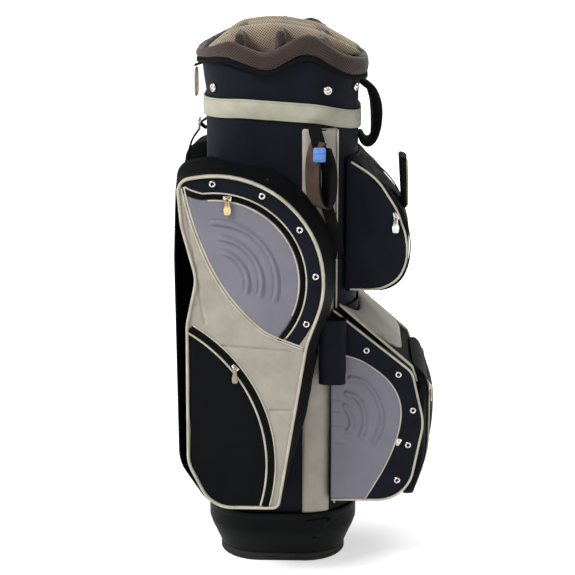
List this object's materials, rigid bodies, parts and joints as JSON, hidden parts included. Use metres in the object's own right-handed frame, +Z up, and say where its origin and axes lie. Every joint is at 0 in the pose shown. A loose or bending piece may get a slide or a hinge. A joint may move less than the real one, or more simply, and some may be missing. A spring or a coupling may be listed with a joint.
{
  "type": "golf cart bag",
  "caption": "Upright golf cart bag with a divided padded top, zipped side and ball pockets, umbrella holder, carry handle and shoulder strap.",
  "frame": {"origin": "middle of the sole's underside, on the floor", "axes": "+Z up along the tube; -Y towards the ball pocket at the front; the YZ plane is the mirror plane"},
  "size_m": [0.3828, 0.431, 0.9102],
  "materials": {
    "navy_cloth": "woven",
    "black_cloth": "woven",
    "beige_leathercloth": "fine grain",
    "band_leathercloth": "fine grain",
    "cream_piping": "smooth",
    "grey_panel": "moulded foam",
    "brown_mesh": "open mesh",
    "tan_mesh": "open mesh",
    "black_webbing": "webbing",
    "black_plastic": "moulded",
    "liner_plastic": "extruded",
    "blue_plastic": "moulded",
    "taupe_plastic": "moulded",
    "black_rubber": "moulded",
    "bright_metal": "polished",
    "gold_metal": "satin"
  },
  "bodies": {
    "bag": {"back_pad": "black_cloth", "ball_lid": "beige_leathercloth", "ball_piping": "cream_piping", "ball_shell": "navy_cloth", "band": "band_leathercloth", "base_cup": "black_plastic", "carry_handle": "black_webbing", "collar": "navy_cloth", "cross_bars": "brown_mesh", "cross_dividers": "black_cloth", "cuff_pad": "brown_mesh", "cuff_trim": "black_webbing", "eyelets": "bright_metal", "hood_snaps": "bright_metal", "left_arc_band": "navy_cloth", "left_gusset": "black_cloth", "left_low_panel": "black_cloth", "left_panel": "beige_leathercloth", "long_bars": "tan_mesh", "long_dividers": "black_cloth", "low_zips": "black_webbing", "right_arc_band": "navy_cloth", "right_gusset": "black_cloth", "right_low_panel": "black_cloth", "right_panel": "beige_leathercloth", "side_piping": "cream_piping", "sole": "black_rubber", "spine_strips": "beige_leathercloth", "strap_rings": "bright_metal", "tube_cover": "navy_cloth", "tube_liner": "liner_plastic", "umbrella_sleeve": "navy_cloth", "upper_pocket": "navy_cloth", "web_tabs": "black_webbing"},
    "left_door": {"left_door": "grey_panel", "left_door_zip": "black_webbing"},
    "left_door_slider": {"left_door_slider": "bright_metal"},
    "left_door_pull": {"left_door_pull": "gold_metal"},
    "left_low_slider": {"left_low_slider": "bright_metal"},
    "left_low_pull": {"left_low_pull": "taupe_plastic"},
    "left_gusset_slider": {"left_gusset_slider": "bright_metal"},
    "left_ball_side_slider": {"left_ball_side_slider": "bright_metal"},
    "right_door": {"right_door": "grey_panel", "right_door_zip": "black_webbing"},
    "right_door_slider": {"right_door_slider": "bright_metal"},
    "right_door_pull": {"right_door_pull": "gold_metal"},
    "right_low_slider": {"right_low_slider": "bright_metal"},
    "right_low_pull": {"right_low_pull": "taupe_plastic"},
    "right_gusset_slider": {"right_gusset_slider": "bright_metal"},
    "right_ball_side_slider": {"right_ball_side_slider": "bright_metal"},
    "ball_door": {"ball_door": "black_cloth"},
    "ball_slider": {"ball_slider": "bright_metal"},
    "ball_pull": {"ball_pull": "gold_metal"},
    "lid_slider": {"lid_slider": "black_plastic"},
    "upper_slider": {"upper_slider": "bright_metal"},
    "upper_pull": {"upper_pull": "bright_metal"},
    "glove_tab": {"glove_tab": "black_cloth"},
    "towel_ring": {"towel_ring": "taupe_plastic"},
    "shoulder_strap": {"shoulder_strap": "black_webbing"},
    "umbrella_strap": {"umbrella_strap": "black_webbing", "umbrella_buckle": "blue_plastic"}
  },
  "joints": [
    {"name": "left_door_hinge", "type": "hinge", "parent": "bag", "child": "left_door", "pos_m": [-0.1856, 0.147, 0.683], "axis": [0, -0.5694, -0.8221], "range_deg": [0, 75]},
    {"name": "left_door_slider_run", "type": "hinge", "parent": "left_door", "child": "left_door_slider", "pos_m": [-0.1876, 0.1, 0.52], "axis": [-1, 0, 0], "range_deg": [-101.5, 6.5]},
    {"name": "left_door_pull_swing", "type": "hinge", "parent": "left_door_slider", "child": "left_door_pull", "pos_m": [-0.1906, 0.07968, 0.65599], "axis": [1, 0, 0], "range_deg": [-80, 80]},
    {"name": "left_low_slider_run", "type": "hinge", "parent": "bag", "child": "left_low_slider", "pos_m": [-0.1876, 0.281, 0.215], "axis": [-1, 0, 0], "range_deg": [-52, 19]},
    {"name": "left_low_pull_swing", "type": "hinge", "parent": "left_low_slider", "child": "left_low_pull", "pos_m": [-0.1906, 0.07021, 0.37969], "axis": [1, 0, 0], "range_deg": [-80, 80]},
    {"name": "left_gusset_slider_run", "type": "hinge", "parent": "bag", "child": "left_gusset_slider", "pos_m": [-0.156, 0.1, 0.52], "axis": [-1, 0, 0], "range_deg": [-25, 25]},
    {"name": "left_ball_side_slider_run", "type": "slide", "parent": "bag", "child": "left_ball_side_slider", "axis": [0, 0.3469, -0.9379], "range_m": [-0.03, 0.05]},
    {"name": "right_door_hinge", "type": "hinge", "parent": "bag", "child": "right_door", "pos_m": [0.1856, 0.147, 0.683], "axis": [0, 0.5694, 0.8221], "range_deg": [0, 75]},
    {"name": "right_door_slider_run", "type": "hinge", "parent": "right_door", "child": "right_door_slider", "pos_m": [0.1876, 0.1, 0.52], "axis": [-1, 0, 0], "range_deg": [-101.5, 6.5]},
    {"name": "right_door_pull_swing", "type": "hinge", "parent": "right_door_slider", "child": "right_door_pull", "pos_m": [0.1906, 0.07968, 0.65599], "axis": [1, 0, 0], "range_deg": [-80, 80]},
    {"name": "right_low_slider_run", "type": "hinge", "parent": "bag", "child": "right_low_slider", "pos_m": [0.1876, 0.281, 0.215], "axis": [-1, 0, 0], "range_deg": [-52, 19]},
    {"name": "right_low_pull_swing", "type": "hinge", "parent": "right_low_slider", "child": "right_low_pull", "pos_m": [0.1906, 0.07021, 0.37969], "axis": [1, 0, 0], "range_deg": [-80, 80]},
    {"name": "right_gusset_slider_run", "type": "hinge", "parent": "bag", "child": "right_gusset_slider", "pos_m": [0.156, 0.1, 0.52], "axis": [-1, 0, 0], "range_deg": [-25, 25]},
    {"name": "right_ball_side_slider_run", "type": "slide", "parent": "bag", "child": "right_ball_side_slider", "axis": [0, 0.3469, -0.9379], "range_m": [-0.03, 0.05]},
    {"name": "ball_door_hinge", "type": "hinge", "parent": "bag", "child": "ball_door", "pos_m": [0, -0.212, 0.12], "axis": [1, 0, 0], "range_deg": [0, 85]},
    {"name": "ball_slider_run", "type": "slide", "parent": "ball_door", "child": "ball_slider", "axis": [0, 0, -1], "range_m": [0, 0.145]},
    {"name": "ball_pull_swing", "type": "hinge", "parent": "ball_slider", "child": "ball_pull", "pos_m": [-0.096, -0.2488, 0.321], "axis": [0, 1, 0], "range_deg": [-35, 80]},
    {"name": "lid_slider_run", "type": "slide", "parent": "bag", "child": "lid_slider", "axis": [0, -0.7793, -0.6266], "range_m": [-0.05, 0.035]},
    {"name": "upper_slider_run", "type": "hinge", "parent": "bag", "child": "upper_slider", "pos_m": [-0.088, -0.074, 0.552], "axis": [-1, 0, 0], "range_deg": [-20, 40]},
    {"name": "upper_pull_swing", "type": "hinge", "parent": "upper_slider", "child": "upper_pull", "pos_m": [-0.091, -0.18455, 0.60592], "axis": [1, 0, 0], "range_deg": [-80, 80]},
    {"name": "glove_tab_fold", "type": "hinge", "parent": "bag", "child": "glove_tab", "pos_m": [0, -0.2055, 0.6055], "axis": [1, 0, 0], "range_deg": [0, 100]},
    {"name": "towel_ring_swing", "type": "hinge", "parent": "bag", "child": "towel_ring", "pos_m": [0, 0.141, 0.8305], "axis": [1, 0, 0], "range_deg": [-5, 110]},
    {"name": "shoulder_strap_swing", "type": "hinge", "parent": "bag", "child": "shoulder_strap", "pos_m": [0, 0.137, 0.534], "axis": [0, 0, 1], "range_deg": [-20, 20]},
    {"name": "umbrella_strap_swing", "type": "hinge", "parent": "bag", "child": "umbrella_strap", "pos_m": [-0.1239, -0.065, 0.757], "axis": [0, 1, 0], "range_deg": [0, 80]}
  ]
}
